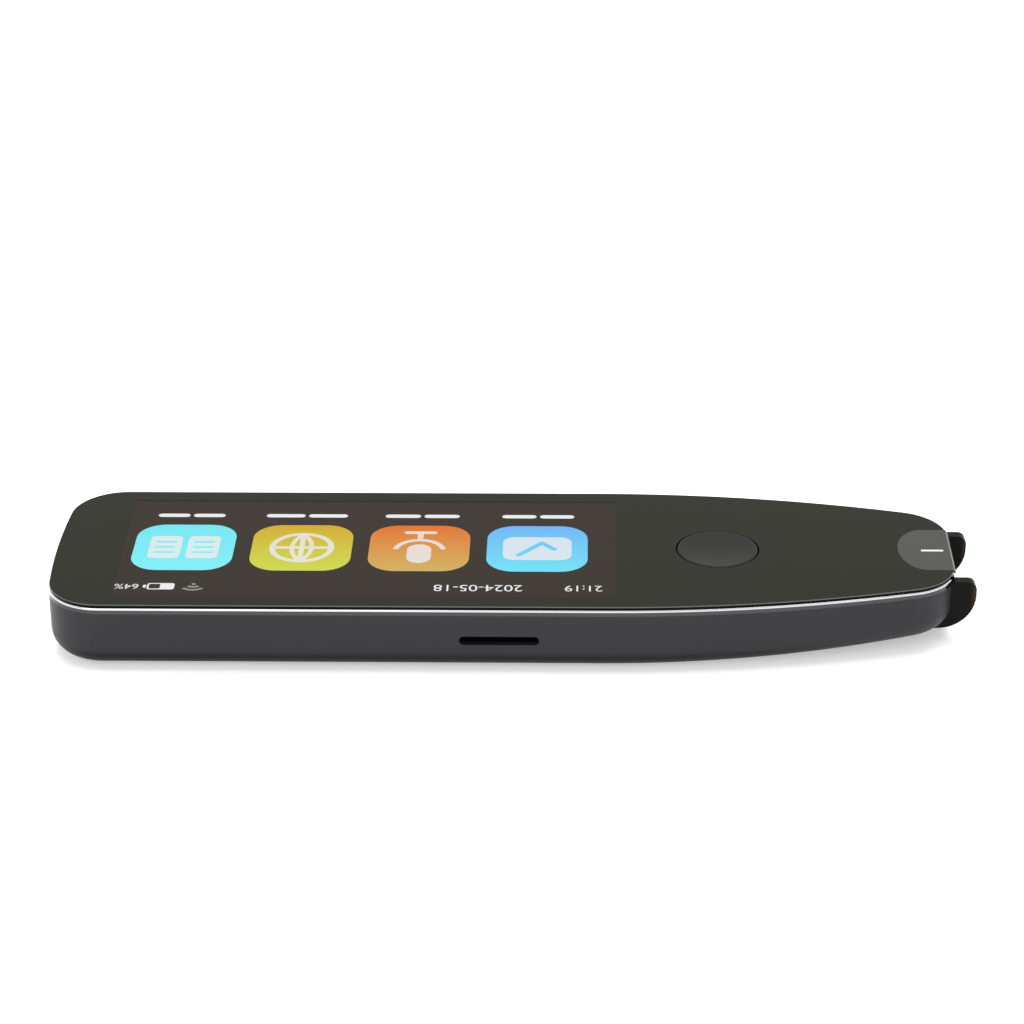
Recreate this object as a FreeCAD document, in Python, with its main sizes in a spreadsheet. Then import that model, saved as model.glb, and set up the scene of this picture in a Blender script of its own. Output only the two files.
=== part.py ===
import FreeCAD, Part
import math
import os

doc = FreeCAD.newDocument("scan_translator")
V = FreeCAD.Vector

# Driving dimensions, millimetres
sheet = doc.addObject("Spreadsheet::Sheet", "sizes")
SIZES = [
    ("rear_x", -75.0), ("half_width", 20.75), ("body_height", 11.7), ("wall", 1.2),
    ("screen_margin", 10.95), ("screen_length", 80.9), ("button_space", 16.65), ("nose_length", 38.2),
    ("rear_radius", 160.0), ("corner_radius", 9.0), ("shoulder_back", 56.7), ("shoulder_radius", 190.0),
    ("nose_radius", 9.0), ("edge_round", 4.0), ("belly_back", 59.7), ("belly_radius", 780.0),
    ("ring_width", 1.0), ("ring_height", 1.05), ("ring_round", 0.35), ("seam", 0.05),
    ("glass_thick", 0.55), ("glass_inset", 0.12), ("glass_edge", 0.2), ("tape_thick", 0.1),
    ("rim_gap", 0.15), ("rim_width", 1.3), ("plate_thick", 1.0),
    ("screen_side", 3.45), ("screen_border", 1.2), ("screen_tail", 1.4), ("screen_thick", 1.6), ("film", 0.2),
    ("button_radius", 6.6), ("button_gap", 0.25), ("button_thick", 1.75), ("button_dish", 0.45),
    ("button_rim", 0.5), ("button_edge", 0.2), ("stem_radius", 2.0), ("stem_length", 1.9), ("run_fit", 0.05),
    ("switch_side", 5.2), ("switch_tall", 2.5), ("plunger_radius", 0.85), ("plunger_length", 1.0),
    ("board_base", 4.0), ("board_thick", 1.0), ("board_gap", 7.0), ("board_back", 8.7), ("board_side", 3.5),
    ("battery_margin", 13.0), ("battery_length", 49.0), ("battery_side", 5.75), ("battery_thick", 5.0),
    ("slot_length", 12.8), ("slot_height", 1.5), ("slot_middle", 5.6), ("slot_space", 11.2),
    ("speaker_length", 15.4), ("speaker_width", 8.6), ("speaker_thick", 4.0), ("mesh_thick", 0.3),
    ("key_back", 13.4), ("key_length", 12.4), ("key_tall", 2.4), ("key_middle", 5.6), ("key_proud", 0.3),
    ("key_gap", 0.08), ("key_flange", 0.7),
    ("nose_cut", 5.7), ("nose_cut_y", 9.3), ("nose_gap", 0.7), ("nose_half", 9.1), ("mouth_half", 7.3),
    ("cheek_reach", 3.3), ("cheek_drop", 1.26), ("cheek_round", 1.4), ("cheek_sweep", 6.0),
    ("mouth_floor", 3.6), ("mouth_drop", 2.0), ("pane_thick", 0.7), ("pane_set", 0.6),
    ("window_half", 7.25), ("window_length", 8.8), ("window_bend", 4.3), ("window_bevel", 0.35),
    ("lens_radius", 1.3), ("lens_rise", 1.5), ("trigger_radius", 0.7), ("trigger_y", 8.3),
    ("port_width", 8.94), ("port_height", 3.26), ("port_depth", 7.35), ("port_wall", 0.35), ("port_base", 4.2),
    ("screw_radius", 0.7), ("screw_head", 1.3), ("screw_head_tall", 0.6), ("boss_radius", 1.9),
    ("screw_length", 4.6), ("screw_side", 7.25), ("screw_inset", 6.5), ("screw_middle", 16.0),
    ("screw_nose", 21.7), ("screw_taper", 2.5), ("antenna_side", 10.25), ("antenna_width", 5.0),
    ("mic_back", 3.75), ("mic_side", 8.25),
]
for row, (alias, value) in enumerate(SIZES, start=1):
    sheet.set("A%d" % row, alias)
    sheet.set("B%d" % row, str(value))
    sheet.setAlias("B%d" % row, alias)
doc.recompute()


def size(alias):
    return float(sheet.get(alias))


def bind(obj, **expressions):
    for path, expression in expressions.items():
        obj.setExpression(path.replace("__", "."), expression)


def place(obj, x="0", y="0", z="0"):
    bind(obj, Placement__Base__x=x, Placement__Base__y=y, Placement__Base__z=z)


# Stations along the length: each one follows from the piece before it
SCREEN_X = "(<<sizes>>.rear_x + <<sizes>>.screen_margin)"
SCREEN_END_X = "(" + SCREEN_X + " + <<sizes>>.screen_length)"
TAIL_X = "(" + SCREEN_END_X + " + <<sizes>>.screen_border + <<sizes>>.screen_tail)"
BUTTON_X = "(" + SCREEN_END_X + " + <<sizes>>.button_space)"
NOSE_X = "(" + BUTTON_X + " + <<sizes>>.nose_length)"
CUT_X = "(" + NOSE_X + " - <<sizes>>.nose_cut)"
BATTERY_X = "(<<sizes>>.rear_x + <<sizes>>.battery_margin)"
BATTERY_END = "(" + BATTERY_X + " + <<sizes>>.battery_length)"
BOARD_X = "(" + BATTERY_END + " + <<sizes>>.board_gap)"
SLOT_X = "(" + BATTERY_END + " + <<sizes>>.slot_space)"
KEY_X = "(" + BATTERY_END + " - <<sizes>>.key_back)"
button_at = size("rear_x") + size("screen_margin") + size("screen_length") + size("button_space")
FRONT_X = button_at + size("nose_length")
shoulder_at = FRONT_X - size("shoulder_back")
belly_at = FRONT_X - size("belly_back")
battery_end_at = size("rear_x") + size("battery_margin") + size("battery_length")
board_at = battery_end_at + size("board_gap")


# Plan outline shared by the shell, trim ring, chassis and cover glass
def outline_edges(inset):
    half = size("half_width")
    rear = size("rear_radius")
    corner = size("corner_radius")
    shoulder = size("shoulder_radius")
    nose = size("nose_radius")
    rear_mid = V(size("rear_x") + rear, 0, 0)
    corner_mid = V(0, half - corner, 0)
    corner_mid.x = rear_mid.x - math.sqrt((rear - corner) ** 2 - corner_mid.y ** 2)
    shoulder_mid = V(shoulder_at, half - shoulder, 0)
    nose_mid = V(FRONT_X - nose, 0, 0)
    nose_mid.y = shoulder_mid.y + math.sqrt((shoulder - nose) ** 2 - (nose_mid.x - shoulder_mid.x) ** 2)

    def on(mid, radius, direction):
        unit = V(direction).normalize()
        return mid + unit * (radius - inset)

    to_corner = corner_mid - rear_mid
    to_nose = nose_mid - shoulder_mid
    rear_top = on(rear_mid, rear, to_corner)
    side_start = on(corner_mid, corner, V(0, 1, 0))
    corner_half = on(corner_mid, corner, V(to_corner).normalize() + V(0, 1, 0))
    side_end = on(shoulder_mid, shoulder, V(0, 1, 0))
    shoulder_half = on(shoulder_mid, shoulder, V(to_nose).normalize() + V(0, 1, 0))
    nose_start = on(shoulder_mid, shoulder, to_nose)
    nose_half = on(nose_mid, nose, V(to_nose).normalize() + V(1, 0, 0))
    nose_end = on(nose_mid, nose, V(1, 0, 0))

    def mirror(p):
        return V(p.x, -p.y, 0)

    upper = [("arc", rear_top, corner_half, side_start), ("line", side_start, side_end),
             ("arc", side_end, shoulder_half, nose_start), ("arc", nose_start, nose_half, nose_end)]
    lower = [(e[0], *[mirror(p) for p in reversed(e[1:])]) for e in reversed(upper)]
    rear_arc = ("arc", mirror(rear_top), on(rear_mid, rear, V(-1, 0, 0)), rear_top)
    return upper + [("line", nose_end, mirror(nose_end))] + lower + [rear_arc]


def polyline(*points):
    corners = [V(x, y, 0) for x, y in points]
    return [("line", a, b) for a, b in zip(corners, corners[1:] + corners[:1])]


def draw(body, name, edges, plane="XY_Plane"):
    sketch = body.newObject("Sketcher::SketchObject", name)
    origin = [f for f in body.Origin.OriginFeatures if f.Role == plane][0]
    sketch.AttachmentSupport = [(origin, "")]
    sketch.MapMode = "FlatFace"
    for edge in edges:
        if edge[0] == "line":
            sketch.addGeometry(Part.LineSegment(edge[1], edge[2]), False)
        else:
            sketch.addGeometry(Part.Arc(*edge[1:]), False)
    return sketch


def pad(body, name, edges, length, plane="XY_Plane", both=False):
    sketch = draw(body, name + "_sketch", edges, plane)
    feature = body.newObject("PartDesign::Pad", name)
    feature.Profile = sketch
    bind(feature, Length=length)
    feature.Midplane = both
    body.Tip = feature
    doc.recompute()
    return feature


def new_body(label):
    body = doc.addObject("PartDesign::Body", label)
    body.Label = label
    return body


def low_edges(shape, limit):
    found = []
    for number, edge in enumerate(shape.Edges, start=1):
        bounds = edge.BoundBox
        if bounds.ZMax < limit and edge.Length > 0.5:
            found.append("Edge%d" % number)
    return found


def box(label, x, y, z, length, width, height):
    solid = doc.addObject("Part::Box", label)
    solid.Label = label
    bind(solid, Length=length, Width=width, Height=height)
    place(solid, x, y, z)
    return solid


def cylinder(label, x, y, z, radius, height, axis=None):
    solid = doc.addObject("Part::Cylinder", label)
    solid.Label = label
    bind(solid, Radius=radius, Height=height)
    if axis is not None:
        solid.Placement.Rotation = FreeCAD.Rotation(V(0, 0, 1), axis)
    place(solid, x, y, z)
    return solid


def fuse(label, parts):
    joined = doc.addObject("Part::MultiFuse", label)
    joined.Shapes = parts
    joined.Label = label
    return joined


def cut(label, base, tool):
    result = doc.addObject("Part::Cut", label)
    result.Base = base
    result.Tool = tool
    result.Label = label
    return result


def group(label, parts):
    joined = doc.addObject("Part::Compound", label)
    joined.Links = parts
    joined.Label = label
    return joined


# Heights of the stack, from the glass down
GLASS_BASE = "(<<sizes>>.body_height - <<sizes>>.glass_thick)"
RING_TOP = "(" + GLASS_BASE + " - <<sizes>>.seam)"
SHELL_TOP = "(" + RING_TOP + " - <<sizes>>.ring_height)"
TAPE_BASE = "(" + GLASS_BASE + " - <<sizes>>.tape_thick)"
SCREEN_BASE = "(" + TAPE_BASE + " - <<sizes>>.screen_thick)"
PLATE_BASE = "(" + SCREEN_BASE + " - <<sizes>>.plate_thick)"
BOARD_TOP = "(<<sizes>>.board_base + <<sizes>>.board_thick)"
BATTERY_TOP = "(<<sizes>>.wall + 0.1 + <<sizes>>.battery_thick)"


def belly(x):
    radius = size("belly_radius")
    if x < belly_at:
        return 0.0
    return radius - math.sqrt(radius ** 2 - (x - belly_at) ** 2)


# Dished tub: the plan outline with the belly rising toward the nose and a rounded lower edge
def tub(label, inset, base, top):
    body = new_body(label)
    pad(body, label + "_block", outline_edges(inset), top)
    start = belly_at
    end = FRONT_X + 10
    radius = size("belly_radius") - base
    rise = radius - math.sqrt(radius ** 2 - (end - start) ** 2)
    half_rise = radius - math.sqrt(radius ** 2 - ((end - start) / 2) ** 2)
    low = V(size("rear_x") - 10, base, 0)
    bend = V(start, base, 0)
    middle = V((start + end) / 2, base + half_rise, 0)
    tip = V(end, base + rise, 0)
    under = [("line", low, bend), ("arc", bend, middle, tip), ("line", tip, V(end, -10, 0)),
             ("line", V(end, -10, 0), V(low.x, -10, 0)), ("line", V(low.x, -10, 0), low)]
    sketch = draw(body, label + "_under", under, "XZ_Plane")
    trim = body.newObject("PartDesign::Pocket", label + "_trim")
    trim.Profile = sketch
    trim.Type = "ThroughAll"
    trim.Midplane = True
    body.Tip = trim
    doc.recompute()
    round_edge = body.newObject("PartDesign::Fillet", label + "_round")
    round_edge.Base = (trim, low_edges(trim.Shape, base + rise + 0.1))
    bind(round_edge, Radius="<<sizes>>.edge_round - %s" % repr(inset))
    body.Tip = round_edge
    doc.recompute()
    return body


# Back shell: one dark metal tub with its bosses, port, key, speaker and nose openings
screw_y = size("half_width") - size("screw_side")
SCREWS = []
for x, y in ((size("rear_x") + size("screw_inset"), screw_y), (board_at + size("screw_middle"), screw_y + 1),
             (FRONT_X - size("screw_nose"), screw_y - size("screw_taper"))):
    SCREWS.extend([(x, y), (x, -y)])
shell_outer = tub("shell_outer", 0.0, 0.0, SHELL_TOP)
shell_inner = tub("shell_inner", size("wall"), size("wall"), SHELL_TOP + " + 1")
shell_tub = cut("shell_tub", shell_outer, shell_inner)
bosses = []
for number, (x, y) in enumerate(SCREWS):
    bosses.append(cylinder("boss_%d" % number, str(x), str(y), "<<sizes>>.wall / 2 + %.2f" % belly(x),
                           "<<sizes>>.boss_radius", PLATE_BASE + " - <<sizes>>.wall / 2 - %.2f" % belly(x)))
stops = []
for side, y in (("near", "-<<sizes>>.nose_cut_y - 1.7"), ("far", "<<sizes>>.nose_cut_y + 0.1")):
    stops.append(box("nose_stop_" + side, CUT_X + " - 0.4", y, "<<sizes>>.wall / 2", "0.8", "1.6",
                     PLATE_BASE + " - <<sizes>>.wall / 2 - 0.1"))
nose_stops = doc.addObject("Part::MultiCommon", "nose_stops")
nose_stops.Shapes = [shell_outer, fuse("nose_stop_pair", stops)]
shell_solid = fuse("shell_solid", [shell_tub, nose_stops] + bosses)
shell_cuts = []
for number, (x, y) in enumerate(SCREWS):
    shell_cuts.append(cylinder("pilot_%d" % number, str(x), str(y), PLATE_BASE + " - <<sizes>>.screw_length",
                               "<<sizes>>.screw_radius + <<sizes>>.run_fit", "<<sizes>>.screw_length + 1"))


# A slot with round ends, cut along the Y or X axis
def stadium(label, x, y, z, length, height, depth, along):
    half = "(" + length + ") / 2 - (" + height + ") / 2"
    if along == "y":
        parts = [box(label + "_mid", x + " - (" + half + ")", y, z + " - (" + height + ") / 2",
                     "2 * (" + half + ")", depth, height)]
        for side, sign in (("low", " - ("), ("high", " + (")):
            parts.append(cylinder(label + "_" + side, x + sign + half + ")", y, z,
                                  "(" + height + ") / 2", depth, V(0, 1, 0)))
    else:
        parts = [box(label + "_mid", x, y + " - (" + half + ")", z + " - (" + height + ") / 2",
                     depth, "2 * (" + half + ")", height)]
        for side, sign in (("low", " - ("), ("high", " + (")):
            parts.append(cylinder(label + "_" + side, x, y + sign + half + ")", z,
                                  "(" + height + ") / 2", depth, V(1, 0, 0)))
    return fuse(label, parts)


shell_cuts.append(stadium("speaker_slot", SLOT_X, "-<<sizes>>.half_width - 1",
                          "<<sizes>>.slot_middle", "<<sizes>>.slot_length", "<<sizes>>.slot_height", "3", "y"))
shell_cuts.append(stadium("key_opening", KEY_X, "<<sizes>>.half_width - 2", "<<sizes>>.key_middle",
                          "<<sizes>>.key_length + 2 * <<sizes>>.key_gap",
                          "<<sizes>>.key_tall + 2 * <<sizes>>.key_gap", "3", "y"))
PORT_MID = "(<<sizes>>.port_base + <<sizes>>.port_height / 2)"
shell_cuts.append(stadium("port_opening", "<<sizes>>.rear_x - 1", "0", PORT_MID,
                          "<<sizes>>.port_width + 0.2", "<<sizes>>.port_height + 0.2", "4", "x"))
shell_cuts.append(box("nose_opening", CUT_X, "-<<sizes>>.nose_cut_y", "-1", "20",
                      "2 * <<sizes>>.nose_cut_y", "20"))
MIC_X = button_at - size("mic_back")
MIC_Y = size("mic_side") - size("half_width")
shell_cuts.append(cylinder("mic_hole", str(MIC_X), str(MIC_Y), "-1", "0.5", "3"))
back_shell = cut("back_shell", shell_solid, fuse("shell_openings", shell_cuts))


# Chrome trim ring under the glass edge, open at the nose where the two cheeks come through
def top_rim(shape, height):
    found = []
    for number, edge in enumerate(shape.Edges, start=1):
        if edge.BoundBox.ZMin > height - 0.01:
            found.append("Edge%d" % number)
    return found


ring_outer = new_body("ring_outer")
ring_plate = pad(ring_outer, "ring_block", outline_edges(0.0), "<<sizes>>.ring_height")
ring_soft = ring_outer.newObject("PartDesign::Fillet", "ring_soft")
ring_soft.Base = (ring_plate, top_rim(ring_plate.Shape, size("ring_height")))
bind(ring_soft, Radius="<<sizes>>.ring_round")
ring_outer.Tip = ring_soft
place(ring_outer, z=SHELL_TOP)
ring_hole = new_body("ring_hole")
pad(ring_hole, "ring_hole_block", outline_edges(size("ring_width")), "<<sizes>>.ring_height + 2")
place(ring_hole, z=SHELL_TOP + " - 1")
ring_gap = box("ring_gap", CUT_X, "-<<sizes>>.nose_cut_y", SHELL_TOP + " - 1", "20",
               "2 * <<sizes>>.nose_cut_y", "4")
bezel_ring = cut("bezel_ring", ring_outer, fuse("ring_cuts", [ring_hole, ring_gap]))


# U-shaped alignment window at the tip and the matching notch in the glass
def window_block(body, name, grow, front, length):
    half = size("window_half") + grow
    bend = FRONT_X - size("window_bend")
    rear = FRONT_X - size("window_length") - grow
    sketch = draw(body, name + "_sketch", [("line", V(front, -half, 0), V(front, half, 0)),
                                              ("line", V(front, half, 0), V(bend, half, 0)),
                                              ("line", V(bend, -half, 0), V(front, -half, 0))])
    rear_curve = Part.Ellipse(V(bend, half, 0), V(rear, 0, 0), V(bend, 0, 0))
    sketch.addGeometry(Part.ArcOfEllipse(rear_curve, 0, math.pi), False)
    feature = body.newObject("PartDesign::Pad", name)
    feature.Profile = sketch
    bind(feature, Length=length)
    body.Tip = feature
    doc.recompute()
    return feature


nose_window = new_body("nose_window")
window_plate = window_block(nose_window, "window_pad", 0.0, FRONT_X, "<<sizes>>.glass_thick")
front_edges = []
for number, edge in enumerate(window_plate.Shape.Edges, start=1):
    bounds = edge.BoundBox
    if bounds.XMin > FRONT_X - 0.01 and bounds.ZMin > size("glass_thick") - 0.01:
        front_edges.append("Edge%d" % number)
window_bevel = nose_window.newObject("PartDesign::Chamfer", "window_bevel")
window_bevel.Base = (window_plate, front_edges)
bind(window_bevel, Size="<<sizes>>.window_bevel")
nose_window.Tip = window_bevel
place(nose_window, z=GLASS_BASE)

# Cover glass with its softened edge, round button hole and window notch
glass_blank = new_body("glass_blank")
glass_plate = pad(glass_blank, "glass_pad", outline_edges(size("glass_inset")), "<<sizes>>.glass_thick")
glass_soft = glass_blank.newObject("PartDesign::Fillet", "glass_soft")
glass_soft.Base = (glass_plate, top_rim(glass_plate.Shape, size("glass_thick")))
bind(glass_soft, Radius="<<sizes>>.glass_edge")
glass_blank.Tip = glass_soft
place(glass_blank, z=GLASS_BASE)
notch = new_body("window_notch")
window_block(notch, "notch_pad", size("seam"), FRONT_X + 5, "<<sizes>>.glass_thick + 2")
place(notch, z=GLASS_BASE + " - 1")
button_hole = cylinder("button_hole", BUTTON_X, "0", GLASS_BASE + " - 1",
                       "<<sizes>>.button_radius + <<sizes>>.button_gap", "<<sizes>>.glass_thick + 2")
front_glass = cut("front_glass", glass_blank, fuse("glass_cuts", [notch, button_hole]))


# Chassis: a plate under the screen with a rim that carries the glass
def ring_block(label, inner, outer, base, height):
    out = new_body(label + "_out")
    pad(out, label + "_out_pad", outline_edges(outer), height)
    place(out, z=base)
    hole = new_body(label + "_in")
    pad(hole, label + "_in_pad", outline_edges(inner), height + " + 2")
    place(hole, z=base + " - 1")
    return cut(label, out, hole)


RIM_OUT = size("wall") + size("rim_gap")
RIM_IN = RIM_OUT + size("rim_width")
frame_rim = ring_block("frame_rim", RIM_IN, RIM_OUT, SCREEN_BASE, "<<sizes>>.screen_thick")
frame_plate = new_body("frame_plate")
pad(frame_plate, "plate_pad", outline_edges(RIM_OUT), "<<sizes>>.plate_thick")
place(frame_plate, z=PLATE_BASE)
frame_cuts = [box("frame_nose_cut", CUT_X + " - 14.2", "-<<sizes>>.nose_cut_y - 1.9", PLATE_BASE + " - 1", "40",
                  "2 * <<sizes>>.nose_cut_y + 3.8", "6"),
              box("frame_tail_slot", TAIL_X + " - 0.2", "-6.5", PLATE_BASE + " - 1", "1.4", "13", "3"),
              cylinder("frame_stem_hole", BUTTON_X, "0", PLATE_BASE + " - 1",
                       "<<sizes>>.stem_radius + <<sizes>>.run_fit", "3")]
for number, (x, y) in enumerate(SCREWS):
    frame_cuts.append(cylinder("frame_hole_%d" % number, str(x), str(y), PLATE_BASE + " - 1",
                               "<<sizes>>.screw_radius + <<sizes>>.run_fit", "3"))
    frame_cuts.append(cylinder("frame_sink_%d" % number, str(x), str(y),
                               SCREEN_BASE + " - <<sizes>>.screw_head_tall",
                               "<<sizes>>.screw_head + <<sizes>>.run_fit", "3"))
mid_frame = cut("mid_frame", fuse("frame_solid", [frame_rim, frame_plate]), fuse("frame_openings", frame_cuts))

# Adhesive frame between the chassis rim and the glass
tape_ring = ring_block("tape_ring", RIM_IN, RIM_OUT, TAPE_BASE, "<<sizes>>.tape_thick")
tape_gap = box("tape_gap", CUT_X + " - 14.2", "-<<sizes>>.nose_cut_y - 1.9", TAPE_BASE + " - 1", "40",
               "2 * <<sizes>>.nose_cut_y + 3.8", "4")
glass_tape = cut("glass_tape", tape_ring, tape_gap)

# Liquid-crystal screen with its driver tail
display_panel = box("display_panel", SCREEN_X + " - <<sizes>>.screen_border",
                    "-<<sizes>>.half_width + <<sizes>>.screen_side - 0.1", SCREEN_BASE,
                    "<<sizes>>.screen_length + 2 * <<sizes>>.screen_border + <<sizes>>.screen_tail",
                    "2 * (<<sizes>>.half_width - <<sizes>>.screen_side) + 0.7", "<<sizes>>.screen_thick - 0.02")
display_flex = fuse("display_flex", [
    box("flex_drop", TAIL_X, "-6", BOARD_TOP, "<<sizes>>.film", "12", SCREEN_BASE + " + 0.8 - " + BOARD_TOP),
    box("flex_foot", TAIL_X, "-6", BOARD_TOP, "3", "12", "<<sizes>>.film")])

# Large dished push button, its plunger and its tactile switch
cap_body = new_body("main_button")
rim = size("button_radius")
thick = size("button_thick")
dish = size("button_dish")
lip = rim - size("button_rim")
edge = size("button_edge")
stem = size("stem_radius")
stem_drop = thick + size("stem_length")
hollow = (lip ** 2 + dish ** 2) / (2 * dish)
half_turn = math.asin(lip / hollow) / 2
bowl = V(hollow * math.sin(half_turn), hollow - dish - hollow * math.cos(half_turn), 0)
profile = [("line", V(0, -dish, 0), V(0, -stem_drop, 0)), ("line", V(0, -stem_drop, 0), V(stem, -stem_drop, 0)),
           ("line", V(stem, -stem_drop, 0), V(stem, -thick, 0)), ("line", V(stem, -thick, 0), V(rim, -thick, 0)),
           ("line", V(rim, -thick, 0), V(rim, -edge, 0)),
           ("arc", V(rim, -edge, 0), V(rim - edge * 0.293, -edge * 0.293, 0), V(rim - edge, 0, 0)),
           ("line", V(rim - edge, 0, 0), V(lip, 0, 0)),
           ("arc", V(lip, 0, 0), bowl, V(0, -dish, 0))]
cap_sketch = draw(cap_body, "cap_profile", profile, "XZ_Plane")
cap_turn = cap_body.newObject("PartDesign::Revolution", "cap_turn")
cap_turn.Profile = cap_sketch
cap_turn.ReferenceAxis = (cap_sketch, ["V_Axis"])
cap_turn.Angle = 360
cap_body.Tip = cap_turn
place(cap_body, x=BUTTON_X, z="<<sizes>>.body_height")
STEM_END = "(<<sizes>>.body_height - <<sizes>>.button_thick - <<sizes>>.stem_length)"
button_plunger = cylinder("button_plunger", BUTTON_X, "0",
                          STEM_END + " - <<sizes>>.plunger_length", "<<sizes>>.plunger_radius",
                          "<<sizes>>.plunger_length")
button_switch = cut("button_switch",
                    box("button_case", BUTTON_X + " - <<sizes>>.switch_side / 2",
                        "-<<sizes>>.switch_side / 2", BOARD_TOP, "<<sizes>>.switch_side",
                        "<<sizes>>.switch_side", "<<sizes>>.switch_tall"),
                    cylinder("button_well", BUTTON_X, "0", BOARD_TOP + " + 1.0",
                             "<<sizes>>.plunger_radius + <<sizes>>.run_fit", "3"))

# Side key on the far wall with its flange, plunger and side-firing switch
KEY_Y = "(<<sizes>>.half_width - <<sizes>>.wall)"
power_key = fuse("power_key", [
    stadium("key_face", KEY_X, KEY_Y + " - 0.3", "<<sizes>>.key_middle", "<<sizes>>.key_length",
            "<<sizes>>.key_tall", "<<sizes>>.wall + <<sizes>>.key_proud + 0.3", "y"),
    box("key_foot", KEY_X + " - <<sizes>>.key_length / 2 - 1", KEY_Y + " - 0.8",
        "<<sizes>>.key_middle - <<sizes>>.key_tall / 2 - 0.5", "<<sizes>>.key_length + 2",
        "<<sizes>>.key_flange", "<<sizes>>.key_tall + 1")])
power_plunger = cylinder("power_plunger", KEY_X, KEY_Y + " - 1.8", "<<sizes>>.key_middle", "0.6", "1.0",
                         V(0, 1, 0))
power_switch = cut("power_switch",
                   box("key_case", KEY_X + " - 2.2", KEY_Y + " - 3.4", "<<sizes>>.key_middle - 1.1", "4.4",
                       "2.0", "2.2"),
                   cylinder("key_well", KEY_X, KEY_Y + " - 2.4", "<<sizes>>.key_middle",
                            "0.6 + <<sizes>>.run_fit", "3", V(0, 1, 0)))
key_flex = box("key_flex", KEY_X + " - 3", KEY_Y + " - 3.6", "<<sizes>>.key_middle - 1.5", "20", "0.2", "3")


# Scanning nose: a smoky hood with two cheeks, pressed back against the page
def nose_profile():
    tip = FRONT_X + size("cheek_reach")
    top = size("body_height") - size("cheek_drop")
    small = size("cheek_round")
    sweep = size("cheek_sweep")
    rear = FRONT_X - size("nose_cut") + size("nose_gap")
    mid = V(tip - sweep, belly(tip - sweep) + sweep, 0)
    low = V(mid.x, mid.y - sweep, 0)
    heel = V(rear, belly(rear) + 0.02, 0)
    return [("line", V(rear, top, 0), V(tip - small, top, 0)),
            ("arc", V(tip - small, top, 0), V(tip - small * 0.293, top - small * 0.293, 0),
              V(tip, top - small, 0)),
            ("line", V(tip, top - small, 0), V(tip, mid.y, 0)),
            ("arc", V(tip, mid.y, 0), V(mid.x + sweep * 0.7071, mid.y - sweep * 0.7071, 0), low),
            ("line", low, heel), ("line", heel, V(rear, top, 0))]


hood_blank = new_body("hood_blank")
pad(hood_blank, "hood_pad", nose_profile(), "2 * <<sizes>>.nose_half", "XZ_Plane", True)
flange = box("hood_flange", CUT_X + " - 1.15", "-<<sizes>>.nose_cut_y - 1.5", "4.6", "0.7",
             "2 * <<sizes>>.nose_cut_y + 3", "4.2")
neck = box("hood_neck", CUT_X + " - 0.6", "-<<sizes>>.nose_half", "4.6", "1.5", "2 * <<sizes>>.nose_half", "4.2")
ROOF = "(<<sizes>>.body_height - <<sizes>>.mouth_drop)"
hood_cuts = [box("hood_mouth", NOSE_X + " - 0.2", "-<<sizes>>.mouth_half", "-1", "10",
                 "2 * <<sizes>>.mouth_half", "20"),
             box("hood_tunnel", CUT_X + " - 5", "-<<sizes>>.mouth_half", "<<sizes>>.mouth_floor", "20",
                 "2 * <<sizes>>.mouth_half", ROOF + " - <<sizes>>.mouth_floor")]
scan_hood = cut("scan_hood", fuse("hood_solid", [hood_blank, flange, neck]), fuse("hood_openings", hood_cuts))
scan_window = box("scan_window", NOSE_X + " - <<sizes>>.pane_set - <<sizes>>.pane_thick",
                  "-<<sizes>>.mouth_half", "<<sizes>>.mouth_floor", "<<sizes>>.pane_thick",
                  "2 * <<sizes>>.mouth_half", ROOF + " - <<sizes>>.mouth_floor")
trigger_plunger = cylinder("trigger_plunger", CUT_X + " - 3.55", "<<sizes>>.trigger_y", "6.0",
                           "<<sizes>>.trigger_radius", "2.4", V(1, 0, 0))
trigger_switch = cut("trigger_switch", box("trigger_case", CUT_X + " - 7.4", "<<sizes>>.trigger_y - 1.8",
                                           BOARD_TOP,
                                           "4.6", "3.6", "2.2"),
                     cylinder("trigger_well", CUT_X + " - 4.3", "<<sizes>>.trigger_y", "6.0",
                              "<<sizes>>.trigger_radius + <<sizes>>.run_fit", "5", V(1, 0, 0)))

# Scan camera with its lens barrel, and the lamp board around it
LENS_Z = "(" + BOARD_TOP + " + <<sizes>>.lens_rise)"
scan_camera = cut("scan_camera", box("camera_case", CUT_X + " - 14", "-4", BOARD_TOP, "6", "8",
                                     "2 * <<sizes>>.lens_rise"),
                  cylinder("camera_bore", CUT_X + " - 10", "0", LENS_Z, "<<sizes>>.lens_radius + 0.2", "5",
                           V(1, 0, 0)))
scan_lens = cut("scan_lens", cylinder("lens_tube", CUT_X + " - 10", "0", LENS_Z, "<<sizes>>.lens_radius", "5.6",
                                      V(1, 0, 0)),
                cylinder("lens_recess", CUT_X + " - 4.9", "0", LENS_Z, "<<sizes>>.lens_radius - 0.4", "2",
                         V(1, 0, 0)))
lamp_board = cut("lamp_board", box("lamp_plate", CUT_X + " - 6", "-5.8", BOARD_TOP, "0.6", "11.6", "3.4"),
                 cylinder("lamp_bore", CUT_X + " - 7", "0", LENS_Z, "<<sizes>>.lens_radius + 0.1", "3",
                          V(1, 0, 0)))
scan_lamps = group("scan_lamps", [
    box("lamp_left", CUT_X + " - 5.4", "-4.6", BOARD_TOP + " + 0.6", "0.7", "1.8", "1.8"),
    box("lamp_right", CUT_X + " - 5.4", "2.8", BOARD_TOP + " + 0.6", "0.7", "1.8", "1.8")])

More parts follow.
